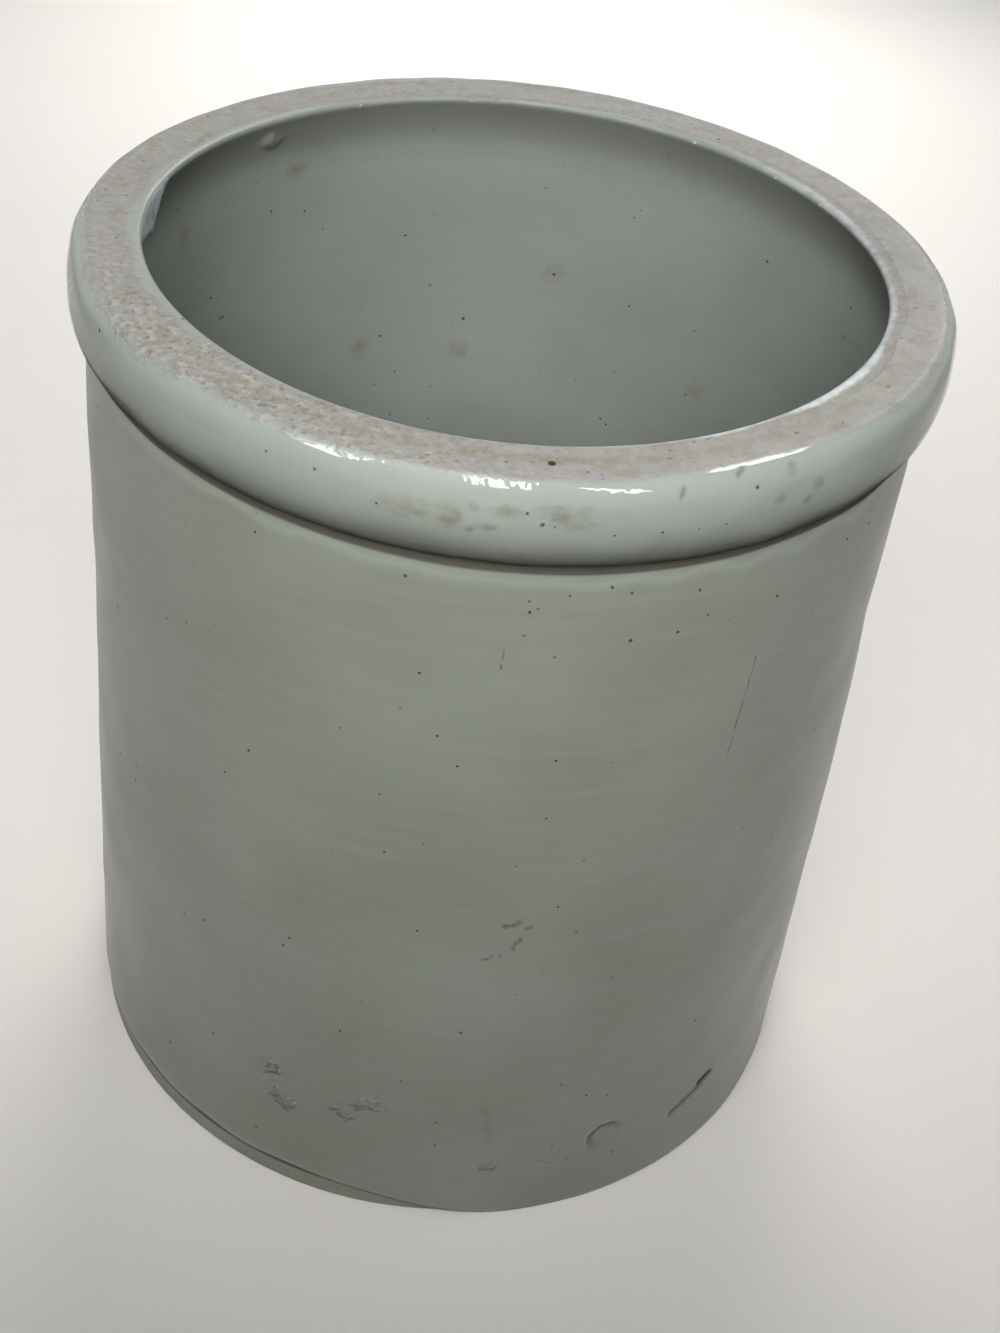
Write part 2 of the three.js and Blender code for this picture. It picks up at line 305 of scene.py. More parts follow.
class Turning:
    """Points of a turned piece: rows along its section, columns round the axis."""

    def __init__(self, section, turns, crowding=0, capped=False):
        section = np.array(section)
        steps = np.linspace(0, 2 * np.pi, turns, endpoint=False)[None, :]
        self.angle = steps - crowding * np.sin(steps - NEAR_SIDE)
        self.radius = np.repeat(section[:, :1], turns, 1)
        self.height = np.repeat(section[:, 1:], turns, 1)
        self.capped = capped
        self.masks = {}
        self.radius = self.radius + firing_warp(self.angle, self.height) * smooth(0, 100 * MM, self.radius)

    def points(self):
        """All points, rows by columns."""
        across, back = self.radius * np.cos(self.angle), self.radius * np.sin(self.angle)
        return np.stack([across, back, self.height], -1)

    def normals(self):
        """Outward directions at all points."""
        points = self.points()
        around = np.roll(points, -1, 1) - np.roll(points, 1, 1)
        normal = np.cross(around, np.gradient(points, axis=0))
        return normal / np.maximum(np.linalg.norm(normal, axis=-1, keepdims=True), 1e-12)

    def push(self, distance):
        """Moves each point out along its normal, in the plane of its section."""
        normal = self.normals()
        out = normal[..., 0] * np.cos(self.angle) + normal[..., 1] * np.sin(self.angle)
        self.radius = self.radius + distance * out
        self.height = self.height + distance * normal[..., 2]

    def paint(self, name, mask):
        """Adds to a mask that the material reads, keeping the stronger value."""
        self.masks[name] = np.maximum(self.masks.get(name, 0), mask * np.ones_like(self.radius))

    def piece(self, name, node, material):
        """Makes the closed mesh, on the crock's body and in place of its solid."""
        rows = slice(1, -1) if self.capped else slice(None)
        points = self.points()
        body = points[rows].reshape(-1, 3)
        index = np.arange(len(body)).reshape(-1, self.radius.shape[1])
        lower, upper = (index[:-1], index[1:]) if self.capped else (index, np.roll(index, -1, 0))
        corners = [lower, np.roll(lower, -1, 1), np.roll(upper, -1, 1), upper]
        faces = np.stack(corners, -1).reshape(-1, 4).tolist()
        masks = {key: mask[rows].reshape(-1) for key, mask in self.masks.items()}
        if self.capped:
            first, last = index[0].tolist(), index[-1].tolist()
            start, end = len(body), len(body) + 1
            body = np.r_[body, points[:1, 0], points[-1:, 0]]
            faces += [(start, b, a) for a, b in zip(first, first[1:] + first[:1])]
            faces += [(end, a, b) for a, b in zip(last, last[1:] + last[:1])]
            masks = {key: np.r_[mask, 0, 0] for key, mask in masks.items()}
        mesh = bpy.data.meshes.new(name)
        mesh.from_pydata(body.tolist(), [], faces)
        mesh.shade_smooth()
        for key, mask in masks.items():
            mesh.attributes.new(key, "FLOAT", "POINT").data.foreach_set("value", mask.astype(np.float32))
        mesh.materials.append(material)
        obj = linked(name, mesh)
        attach(obj, "root")
        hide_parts(node)


# Places and marks

def camera_axes():
    """The camera's right, up and forward directions."""
    cos_pan, sin_pan = math.cos(CAMERA_PAN), math.sin(CAMERA_PAN)
    cos_pitch, sin_pitch = math.cos(CAMERA_PITCH), math.sin(CAMERA_PITCH)
    forward = np.array([sin_pan * cos_pitch, cos_pan * cos_pitch, -sin_pitch])
    level = np.array([cos_pan, -sin_pan, 0])
    rise = np.cross(level, forward)
    cos_roll, sin_roll = math.cos(CAMERA_ROLL), math.sin(CAMERA_ROLL)
    return cos_roll * level + sin_roll * rise, cos_roll * rise - sin_roll * level, forward


RIGHT, UP, FORWARD = camera_axes()


class Spot:
    """The place on a turning that shows at a pixel, with directions round and up the surface there."""

    def __init__(self, turning, pixel):
        points, normals = turning.points(), turning.normals()
        sight = points - CAMERA_PLACE
        depth = sight @ FORWARD
        across = PHOTO_WIDTH / 2 + FOCAL_PIXELS * (sight @ RIGHT) / depth
        down = PHOTO_HEIGHT / 2 - FOCAL_PIXELS * (sight @ UP) / depth
        miss = np.hypot(across - pixel[0], down - pixel[1])
        facing = (sight * normals).sum(-1) < 0
        found = np.unravel_index(np.argmin(np.where(facing, miss, np.inf)), miss.shape)
        self.place, self.normal = points[found], normals[found]
        round_axis = np.array([-self.place[1], self.place[0], 0])
        self.around = round_axis / np.linalg.norm(round_axis)
        self.along = np.cross(self.normal, self.around)

    def local(self, turning):
        """Distances round and up the surface from here."""
        offset = turning.points() - self.place
        return offset @ self.around, offset @ self.along

    def same_face(self, turning):
        """1 on the face that the spot is on, and 0 on the back of the piece."""
        return smooth(0, 0.4, turning.normals() @ self.normal)


def near_angle(turning, angle):
    """1 at an angle round the axis, falling off to 0 at a quarter turn from it."""
    return np.maximum(0, np.cos(turning.angle - angle)) ** 2


def seam_shows(turning):
    """1 at the lower left, where the slab's edge shows under a ledge, and 0 where glaze hides it."""
    return smooth(math.cos(SEAM_REACH), math.cos(SEAM_FULL), np.cos(turning.angle - SEAM_ANGLE))


def fade_length(turning):
    """How gradually the glaze thins out at the land: slowly at the near left and at the right."""
    slow = np.maximum(near_angle(turning, FADE_ANGLE), near_angle(turning, FADE_RIGHT_ANGLE) ** 2)
    return FADE_LEAST + FADE_MORE * slow


def crusty(turning):
    """1 at the near left, where the bare clay is crusty, falling off to 0 at a quarter turn from it."""
    return near_angle(turning, CRUST_ANGLE) ** 2


def ragged(turning, amount, seed):
    """A small unevenness for the edge of a mark."""
    return amount * waves(turning.angle, turning.height, seed, turns=260, length=5 * MM)


def blot(turning, pixel, size, seed, uneven=0.06):
    """A soft ragged oval at a pixel, of that length round and up."""
    spot = Spot(turning, pixel)
    around, along = spot.local(turning)
    reach = 2 * np.hypot(around / size[0], along / size[1]) + ragged(turning, uneven, seed)
    return smooth(1, 0.3, reach) * spot.same_face(turning)


def stroke(turning, start, end, width, seed, uneven=0.08):
    """A soft ragged stroke between two pixels."""
    first, last = Spot(turning, start), Spot(turning, end)
    run = last.place - first.place
    offset = turning.points() - first.place
    share = np.clip(offset @ run / (run @ run), 0, 1)
    miss = np.linalg.norm(offset - share[..., None] * run, axis=-1)
    return smooth(1, 0.3, 2 * miss / width + ragged(turning, uneven, seed)) * first.same_face(turning)


def crescent(turning, pixel, radius):
    """A dish that is steepest at its upper left, its raised edge there, and the painted shadow under that
    edge.
    """
    spot = Spot(turning, pixel)
    around, along = spot.local(turning)
    reach = np.hypot(around, along) / radius + ragged(turning, amount=0.02, seed=11)
    lean = CRESCENT_LEAN * (CRESCENT_SIDE * around - along) / radius
    steepness = np.clip(CRESCENT_STEEP - lean, 0, 1) * spot.same_face(turning)
    edge = np.exp(-(((reach - CRESCENT_EDGE_SHARE) / CRESCENT_EDGE_WIDTH) ** 2))
    painted_shadow = np.exp(-(((reach - CRESCENT_SHADOW_SHARE) / CRESCENT_SHADOW_WIDTH) ** 2))
    return smooth(1, 0.86, reach) * steepness, edge * steepness, painted_shadow * steepness


def lip_chip(turning):
    """Where the lip's inner face is broken flat, below its edge on the left."""
    lowest = np.interp(np.mod(turning.angle, 2 * np.pi), CHIP_ANGLES, CHIP_DROPS, left=0, right=0)
    drop = LIP_EDGE + LIP_ROUND / 2 - turning.height
    spare = lowest - drop + ragged(turning, amount=0.4 * MM, seed=16)
    face = inside_radius(turning.height) + firing_warp(turning.angle, turning.height)
    inner = smooth(2 * MM, 1.5 * MM, np.abs(turning.radius - face))
    return smooth(-0.5 * MM, 0.5 * MM, spare) * inner * smooth(-0.3 * MM, 0.3 * MM, drop)


# Materials

class Nodes:
    """Builds nodes in one tree."""

    def __init__(self, tree):
        self.tree = tree

    def set(self, socket, value):
        """Links a socket, or gives it a plain value."""
        if isinstance(value, bpy.types.NodeSocket):
            self.tree.links.new(value, socket)
        else:
            socket.default_value = value

    def node(self, kind, inputs=None, **settings):
        """A node with its settings and inputs."""
        made = self.tree.nodes.new(kind)
        for key, value in settings.items():
            setattr(made, key, value)
        for key, value in (inputs or {}).items():
            self.set(made.inputs[key], value)
        return made

    def math(self, operation, first, second):
        """A calculation on two values."""
        return self.node("ShaderNodeMath", {0: first, 1: second}, operation=operation).outputs[0]

    def seen(self):
        """1 for the camera's rays, and for what shows in reflections and through things."""
        path = self.node("ShaderNodeLightPath").outputs
        seen = self.math("MAXIMUM", path["Is Camera Ray"], path["Is Glossy Ray"])
        return self.math("MAXIMUM", seen, path["Is Transmission Ray"])


class Painter(Nodes):
    """Builds one material from nodes on the crock's own coordinates."""

    def __init__(self, name):
        self.material = bpy.data.materials.new(name)
        self.material.use_nodes = True
        super().__init__(self.material.node_tree)
        self.shader = self.tree.nodes["Principled BSDF"]
        self.place = self.node("ShaderNodeTexCoord").outputs["Object"]

    def vector(self, operation, first, second, output=0):
        """A calculation on two vectors."""
        return self.node("ShaderNodeVectorMath", {0: first, 1: second}, operation=operation).outputs[output]

    def wobbled(self, length, amount):
        """The coordinates, shaken a little, so that what is drawn on them isn't straight."""
        inputs = {"Vector": self.place, "Scale": 1 / length}
        noise = self.node("ShaderNodeTexNoise", inputs).outputs["Color"]
        shake = self.vector("MULTIPLY", self.vector("SUBTRACT", noise, (0.5, 0.5, 0.5)), (amount,) * 3)
        return self.vector("ADD", self.place, shake)

    def step(self, value, low, high, start=0.0, end=1.0):
        """A soft step from start to end as the value goes from low to high."""
        inputs = {"Value": value, "From Min": low, "From Max": high, "To Min": start, "To Max": end}
        return self.node("ShaderNodeMapRange", inputs, interpolation_type="SMOOTHSTEP").outputs[0]

    def noise(self, length, detail=3, stretch=(1, 1, 1)):
        """Cloudy noise with features of about that length, drawn out along the axes by the stretch."""
        scale = [1 / (length * s) for s in stretch]
        place = self.vector("MULTIPLY", self.place, scale)
        return self.node("ShaderNodeTexNoise", {"Vector": place, "Scale": 1, "Detail": detail}).outputs[0]

    def mix(self, share, first, second):
        """A blend of two colours."""
        made = self.node("ShaderNodeMix", {0: share, 6: first, 7: second}, data_type="RGBA")
        return made.outputs[2]

    def mask(self, name):
        """A mask painted on the mesh."""
        return self.node("ShaderNodeAttribute", attribute_name=name).outputs["Fac"]

    def grains(self, spacing, radius, share):
        """Scattered round grains: 1 inside. Only that share of the cells has one, of up to that radius."""
        cell = self.node("ShaderNodeTexVoronoi", {"Vector": self.place, "Scale": 1 / spacing})
        chance = self.node("ShaderNodeSeparateColor", {0: cell.outputs["Color"]}).outputs[0]
        reach = self.step(chance, 1 - share, 1, end=radius / spacing)
        inside = self.math("SUBTRACT", reach, cell.outputs["Distance"])
        return self.step(inside, 0, 0.35 * radius / spacing)

    def specks(self, places, radius):
        """Single specks of several sizes at given places, the largest of that radius."""
        place = self.wobbled(length=1.5 * MM, amount=1.2 * MM)
        sizes = np.random.default_rng(seed=1).uniform(0.5, 1, len(places)) * radius
        total = 0
        for middle, size in zip(places, sizes):
            far = self.vector("DISTANCE", place, tuple(middle), 1)
            total = self.math("MAXIMUM", total, self.step(far, size, 0.2 * size))
        return total

    def line(self, place, start, end, width):
        """A hairline between two places."""
        run = end - start
        offset = self.vector("SUBTRACT", place, tuple(start))
        share = self.vector("DOT_PRODUCT", offset, tuple(run / (run @ run)), 1)
        share = self.node("ShaderNodeClamp", {"Value": share}).outputs[0]
        inputs = {0: tuple(run), "Scale": share}
        nearest = self.node("ShaderNodeVectorMath", inputs, operation="SCALE").outputs[0]
        return self.step(self.vector("DISTANCE", offset, nearest, 1), width / 2, 0)

    def lines(self, ends, width, shake):
        """Unsteady hairlines between pairs of places, broken here and there."""
        place = self.wobbled(length=4 * MM, amount=shake)
        total = 0
        for start, end in ends:
            total = self.math("MAXIMUM", total, self.line(place, start, end, width))
        return self.math("MULTIPLY", total, self.step(self.noise(2.5 * MM), 0.35, 0.6))

    def bump(self, height, distance, under=None):
        """Small relief, with the height in units of the distance."""
        inputs = {"Height": height, "Distance": distance}
        if under is not None:
            inputs["Normal"] = under
        return self.node("ShaderNodeBump", inputs).outputs[0]

    def finish(self, colour, roughness, normal):
        """Sets the shader and gives the material."""
        self.set(self.shader.inputs["Base Color"], colour)
        self.set(self.shader.inputs["Roughness"], roughness)
        self.set(self.shader.inputs["Normal"], normal)
        return self.material


# Colours, as they look on a screen
WALL_PALE = tint(141, 146, 136)
WALL_DEEP = tint(130, 133, 122)
ROLL_PALE = tint(157, 163, 154)
GLAZE_COOL = tint(147, 154, 148)
LINING_PALE = tint(143, 148, 141)
LINING_DEEP = tint(132, 137, 129)
STAIN_BROWN = tint(113, 103, 77)
STAIN_GREY = tint(99, 103, 92)
IRON_SPECK_AND_SHADE = tint(51, 42, 33)
GRIME_AND_SHADE = tint(63, 56, 45)
CLAY_BUFF = tint(147, 146, 138)
CLAY_PINK = tint(147, 143, 138)
CLAY_MAUVE = tint(140, 140, 143)
CLAY_PIT = tint(100, 92, 83)
FRESH_CLAY_AND_HIGHLIGHT = tint(200, 204, 209)
CLAY_BROWN = tint(124, 114, 92)
CLAY_WHITE = tint(169, 167, 158)
# Tones for stains, smudges, grime with painted shade, and the painted highlight on the lip
STAIN_SHADE_AND_HIGHLIGHT_TONES = {"stain": STAIN_BROWN, "smudge": STAIN_GREY, "grime_and_shade": GRIME_AND_SHADE, "lip_highlight": FRESH_CLAY_AND_HIGHLIGHT}


def clay_colour(paint):
    """Wiped clay with pinkish and greyish blotches, crusty in places. Gives its grain and pits too."""
    blotches = paint.step(paint.noise(26 * MM, detail=5), 0.36, 0.64)
    greyish = paint.step(paint.noise(13 * MM, detail=5), 0.48, 0.7)
    grain = paint.noise(2.4 * MM, detail=4)
    crust = paint.step(paint.mask("crust"), 0, 1, start=0.3)
    pits = paint.grains(spacing=4.5 * MM, radius=0.9 * MM, share=0.7)
    colour = paint.mix(blotches, CLAY_PINK, CLAY_BUFF)
    colour = paint.mix(paint.math("MULTIPLY", greyish, CLAY_GREY), colour, CLAY_MAUVE)
    browned = paint.step(paint.noise(9 * MM, detail=5), 0.45, 0.7, end=0.4)
    colour = paint.mix(browned, colour, CLAY_BROWN)
    light = paint.step(paint.noise(4 * MM, detail=4), 0.45, 0.7, end=0.8)
    colour = paint.mix(paint.math("MULTIPLY", light, crust), colour, CLAY_WHITE)
    dark = paint.step(grain, 0.48, 0.72, end=0.7)
    colour = paint.mix(paint.math("MULTIPLY", dark, crust), colour, CLAY_PIT)
    colour = paint.mix(paint.math("MULTIPLY", pits, CLAY_PIT_DARK), colour, CLAY_PIT)
    return colour, paint.math("MULTIPLY", grain, crust), pits


def glaze(name, pale, deep, least_rough, relief, specks=(), damage=None):
    """Grey-green glaze: cloudy, faintly ringed, with iron specks, pinholes, stains and bare places, and
    with painted shade and painted highlights from its masks.
    """
    paint = Painter(name)
    clouds = paint.step(paint.noise(90 * MM, detail=4), 0.25, 0.75)
    rings = paint.noise(60 * MM, stretch=(1, 1, 0.08))
    mottle = paint.noise(4 * MM, detail=4)
    colour = paint.mix(clouds, deep, pale)
    colour = paint.mix(paint.step(rings, 0.4, 0.75, end=0.22), colour, GLAZE_COOL)
    colour = paint.mix(paint.step(mottle, 0.45, 0.8, end=0.3), colour, deep)
    # Pooled glaze, and painted highlights on raised edges, in the roll's pale tone
    colour = paint.mix(paint.mask("pooled_and_highlight"), colour, ROLL_PALE)
    streaks = paint.step(paint.noise(3.5 * MM, detail=4, stretch=(2, 2, 1)), 0.3, 0.7, start=0.3)
    for mask, tone in STAIN_SHADE_AND_HIGHLIGHT_TONES.items():
        colour = paint.mix(paint.math("MULTIPLY", paint.mask(mask), streaks), colour, tone)
    pinholes = paint.grains(spacing=7 * MM, radius=0.7 * MM, share=0.6)
    scattered = paint.grains(spacing=9 * MM, radius=0.75 * MM, share=0.7)
    dark = paint.math("MAXIMUM", scattered, paint.specks(specks, SPECK_RADIUS))
    # Painted shade darkens in the same tone as the iron specks
    dark = paint.math("MAXIMUM", dark, paint.mask("shade"))
    if damage:
        dark = paint.math("MAXIMUM", dark, damage(paint))
    colour = paint.mix(paint.math("MULTIPLY", pinholes, PINHOLE_DARK), colour, GRIME_AND_SHADE)
    colour = paint.mix(paint.math("MULTIPLY", dark, SPECK_AND_SHADE_DARK), colour, IRON_SPECK_AND_SHADE)
    bare_colour, grain, _ = clay_colour(paint)
    thinned = paint.math("ADD", paint.mask("bare"), paint.step(mottle, 0.3, 0.7, start=-0.12, end=0.12))
    bare = paint.step(thinned, 0.15, 0.85)
    colour = paint.mix(bare, colour, bare_colour)
    chip = paint.step(paint.mask("chip"), 0.4, 0.5)
    flake = paint.mix(paint.step(paint.noise(9 * MM, detail=2), 0.5, 0.7, end=0.6), FRESH_CLAY_AND_HIGHLIGHT, CLAY_MAUVE)
    colour = paint.mix(chip, colour, flake)
    patches = paint.noise(30 * MM, detail=4)
    roughness = paint.step(patches, 0.3, 0.7, start=least_rough, end=1.25 * least_rough)
    worn = paint.math("MAXIMUM", bare, chip)
    rough = paint.math("MAXIMUM", paint.math("MULTIPLY", dark, DARK_ROUGH_SHARE), worn)
    roughness = paint.math("ADD", roughness, paint.math("MULTIPLY", rough, WORN_ROUGHNESS))
    shine = paint.step(dark, 0, 0.5, start=0.5, end=0)
    shine = paint.math("MULTIPLY", shine, paint.step(worn, 0, 1, start=1, end=0.4))
    paint.set(paint.shader.inputs["Specular IOR Level"], shine)
    normal = paint.bump(paint.noise(8 * MM, detail=2), relief)
    normal = paint.bump(paint.math("SUBTRACT", 1, pinholes), PINHOLE_DEPTH, normal)
    normal = paint.bump(paint.math("MULTIPLY", grain, bare), GRAIN_RELIEF, normal)
    lumps = paint.noise(3 * MM, detail=2)
    normal = paint.bump(paint.math("MULTIPLY", lumps, paint.mask("crawled")), CRAWLED_DEPTH, normal)
    return paint.finish(colour, roughness, normal)


def clay(name, specks=()):
    """Bare fired clay wiped clean of glaze, with fine open pits."""
    paint = Painter(name)
    colour, grain, pits = clay_colour(paint)
    stain = paint.math("MULTIPLY", paint.mask("stain"), paint.step(paint.noise(6 * MM, detail=4), 0.3, 0.6))
    colour = paint.mix(stain, colour, CLAY_BROWN)
    colour = paint.mix(paint.specks(specks, SPECK_RADIUS), colour, IRON_SPECK_AND_SHADE)
    # Painted shade in the land's pit
    colour = paint.mix(paint.step(paint.mask("shade"), 0.35, 0.55), colour, IRON_SPECK_AND_SHADE)
    roughness = paint.step(paint.noise(20 * MM), 0.3, 0.7, start=CLAY_ROUGHNESS, end=CLAY_ROUGHEST)
    paint.set(paint.shader.inputs["Specular IOR Level"], CLAY_SHINE)
    normal = paint.bump(grain, GRAIN_RELIEF)
    normal = paint.bump(paint.math("SUBTRACT", 1, pits), CLAY_PIT_DEPTH, normal)
    return paint.finish(colour, roughness, normal)


# The pieces

def places(turning, pixels):
    """Places on a piece that show at those pixels."""
    return [Spot(turning, pixel).place for pixel in pixels]


def wall_damage(coat):
    """Draws the fine dark marks on the wall: scuffs, scratches and painted shade in the scar's pit."""
    scuffs = [places(coat, ends) for ends in SCUFFS]
    scratches = [places(coat, ends) for ends in SCRATCHES]
    pit_ends = [Spot(coat, pixel) for pixel in (SCAR_PIT_FROM, SCAR_PIT_TO)]
    pit = [spot.place - SCAR_PIT_DEPTH * spot.normal for spot in pit_ends]

    def draw(paint):
        scuffed = paint.lines(scuffs, SCUFF_WIDTH, SCUFF_SHAKE)
        scratched = paint.lines(scratches, SCRATCH_WIDTH, SCRATCH_SHAKE)
        marks = paint.math("MULTIPLY", paint.math("MAXIMUM", scuffed, scratched), SCUFF_DARK)
        shaken = paint.wobbled(SCAR_SHAKE_LENGTH, SCAR_SHAKE)
        # Painted shade along the scar's pit
        return paint.math("MAXIMUM", marks, paint.line(shaken, *pit, SCAR_PIT_WIDTH))

    return draw


def wall_coat():
    """The glaze on the outside of the wall, tucked in at the groove, and run down over most of the foot."""
    fine, coarse = 1.1 * MM, 3 * MM
    damaged, groove = 75 * MM, WALL_TOP - 12 * MM
    heights = np.r_[np.arange(SEAM, damaged, fine), np.arange(damaged, groove, coarse),
                    np.linspace(groove, WALL_TOP, num=13)]
    front = np.stack([wall_radius(heights), heights], -1)
    back = front[::-HIDDEN_STRIDE] - (COAT_BACK, 0)
    coat = Turning(np.r_[front, back], WALL_TURNS, WALL_CROWDING)
    coat.radius = coat.radius - GROOVE_TUCK * smooth(WALL_TOP - GROOVE_REACH, WALL_TOP, coat.height) ** 2
    shows = seam_shows(coat)
    ledge = smooth(SEAM + LEDGE_RUN, SEAM, coat.height)
    coat.radius = coat.radius - LEDGE_SHARE * (WALL_RADIUS - FOOT_RADIUS) * ledge * shows
    coat.height = coat.height - (SEAM - FOOT_GAP) * (1 - shows) * smooth(SEAM + RUN_DOWN, SEAM, coat.height)
    coat.radius = coat.radius - FOOT_TURN * smooth(FOOT_TURN_HEIGHT, FOOT_GAP, coat.height) ** 2
    coat.push(WALL_WAVES * waves(coat.angle, coat.height, seed=21, turns=26, length=60 * MM))
    damage = wall_damage(coat)
    specks = places(coat, WALL_SPECKS_AT)
    dish, lip, painted_shadow = crescent(coat, CRESCENT_AT, CRESCENT_RADIUS)
    scar = stroke(coat, SCAR_FROM, SCAR_TO, SCAR_WIDTH, seed=5)
    pit = stroke(coat, SCAR_PIT_FROM, SCAR_PIT_TO, SCAR_PIT_WIDTH, seed=6)
    for seed, pixel in enumerate(CRAWLED_AT):
        coat.paint("crawled", blot(coat, pixel, CRAWLED_SIZE, seed, uneven=0.2))
    coat.push(CRESCENT_LIP * lip - CRESCENT_DEPTH * dish)
    coat.push(-SCAR_DEPTH * scar - SCAR_PIT_DEPTH * pit)
    sway = waves(coat.angle, 0, seed=12, turns=40, length=1)
    # Painted shade in the groove under the roll, and pooled glaze below it
    in_groove = smooth(WALL_TOP - GROOVE_DARK_FROM, WALL_TOP - GROOVE_DARK_FULL, coat.height)
    coat.paint("shade", GROOVE_DARK * in_groove)
    under_groove = (coat.height - WALL_TOP + POOL_DROP + POOL_SWAY * sway) / POOL_REACH
    coat.paint("pooled_and_highlight", POOLED_AND_HIGHLIGHT_STRENGTH * np.exp(-(under_groove**2)))
    # Painted highlights on the bruise's raised edge and on the ledge's rounded edge
    coat.paint("pooled_and_highlight", np.clip(lip + POOLED_AND_HIGHLIGHT_STRENGTH * shows * smooth(0.5, 0.9, ledge), 0, 1))
    # Painted shade in the scar, in its pit and under the bruise's edge
    coat.paint("shade", np.clip(SCAR_SHADE * scar + BRUISE_SHADOW * painted_shadow + PIT_SHADE * pit, 0, 1))
    coat.paint("grime_and_shade", CRAWLED_GRIME * coat.masks["crawled"])
    smear = stroke(coat, SMEAR_FROM, SMEAR_TO, SMEAR_WIDTH, seed=19, uneven=0.3)
    coat.paint("smudge", SMEAR_STRENGTH * smear)
    coat.paint("stain", FOOT_STAIN_STRENGTH * blot(coat, FOOT_STAIN_AT, FOOT_STAIN_SIZE, seed=14))
    look = glaze("outside_glaze", WALL_PALE, WALL_DEEP, WALL_ROUGHNESS, WALL_RELIEF, specks, damage)
    coat.piece("wall_coat", "wall_glaze", look)


def rim_coat():
    """The thicker, glossier glaze on the roll, which ends in a wavy line at the bare land."""
    over_land = [(LAND_OUTER - ROLL_LAP_WIDTH, RIM_TOP)]
    front = even(np.r_[roll_face(0), over_land], step=0.8 * MM)
    under_land = [(LAND_OUTER - ROLL_LAP_WIDTH, RIM_TOP - COAT_BACK)]
    back = even(np.r_[under_land, roll_face(COAT_BACK)[::-1]], step=8 * MM)
    coat = Turning(np.r_[front, back], RIM_TURNS, RIM_CROWDING)
    sway = waves(coat.angle, 0, seed=31, turns=9, length=1)
    sway = sway + 0.4 * waves(coat.angle, 0, seed=32, turns=60, length=1)
    line = LAND_OUTER - ROLL_LINE + ROLL_LINE_SWAY * np.tanh(sway)
    line = line - LINE_SHIFT * near_angle(coat, LINE_SHIFT_ANGLE) ** LINE_SHIFT_POWER
    on_top = smooth(RIM_TOP - 6 * MM, RIM_TOP - 4 * MM, coat.height)
    coat.height = coat.height - EDGE_DIP * on_top * smooth(line + EDGE_RUN, line - EDGE_RUN, coat.radius)
    coat.paint("bare", on_top * np.clip(1 + (line + EDGE_RUN - coat.radius) / fade_length(coat), 0, 1))
    coat.paint("crust", crusty(coat))
    coat.push(ROLL_WAVES * waves(coat.angle, coat.height, seed=22, turns=40, length=30 * MM))
    for start, end in DINGS:
        ding = stroke(coat, start, end, DING_WIDTH, seed=15)
        coat.push(-DING_DEPTH * ding)
        coat.paint("shade", DING_SHADE * ding)
    for seed, (pixel, size) in enumerate(BROWN_STAINS, start=40):
        coat.paint("stain", STAIN_STRENGTH * blot(coat, pixel, size, seed))
    for seed, (pixel, size) in enumerate(SMUDGES, start=50):
        coat.paint("smudge", SMUDGE_STRENGTH * blot(coat, pixel, size, seed))
    sway = waves(coat.angle, 0, seed=13, turns=30, length=1)
    # Painted shade, with some grime, darkening the roll's underside towards the groove
    above_groove = np.clip((coat.height - WALL_TOP) / ROLL_SHADE_RISE, 0, 1)
    coat.paint("grime_and_shade", ROLL_GRIME_AND_SHADE * smooth(0.6, 0.1, above_groove))
    coat.paint("shade", (ROLL_SHADE + ROLL_SHADE_SWAY * sway) * (1 - above_groove) ** ROLL_SHADE_POWER)
    specks = places(coat, ROLL_SPECKS_AT)
    look = glaze("roll_glaze", ROLL_PALE, GLAZE_COOL, ROLL_ROUGHNESS, ROLL_RELIEF, specks)
    coat.piece("rim_coat", "rim_glaze", look)
    return coat


def bare_rim():
    """The clay of the rim, bare on the land and set back a little at the lip."""
    behind = roll_face(CLAY_BEHIND)
    covered = behind[behind[:, 1] < RIM_TOP - 6 * MM]
    land_edge = [(LAND_OUTER, RIM_TOP - BARE_DEPTH)]
    land = even(np.r_[land_edge, lip_face(BARE_DEPTH)], step=1 * MM)
    at_lip = smooth(RIM_TOP - 1 * MM, LIP_EDGE - 1 * MM, land[:, 1]) * (land[:, 0] < LAND_INNER)
    land[:, 0] += LIP_SETBACK * at_lip
    rim = Turning(np.r_[even(covered, step=6 * MM), land], RIM_TURNS, RIM_CROWDING)
    rim.push(LAND_WAVES * waves(rim.angle, rim.radius, seed=23, turns=60, length=20 * MM))
    pit = blot(rim, LAND_PIT_AT, LAND_PIT_SIZE, seed=17)
    rim.push(-LAND_PIT_DEPTH * pit)
    rim.paint("shade", pit)
    rim.paint("crust", crusty(rim))
    sway = waves(rim.angle, 0, seed=34, turns=12, length=1)
    ring = (rim.radius - LAND_INNER - RING_STAIN_INSET + RING_STAIN_SWAY * sway) / RING_STAIN_WIDTH
    on_top = smooth(RIM_TOP - 3 * MM, RIM_TOP - 1 * MM, rim.height)
    rim.paint("stain", STAIN_STRENGTH * np.exp(-(ring**2)) * on_top * near_angle(rim, NEAR_SIDE))
    look = clay("rim_clay", places(rim, LAND_SPECKS_AT))
    rim.piece("bare_rim", "rim_roll", look)


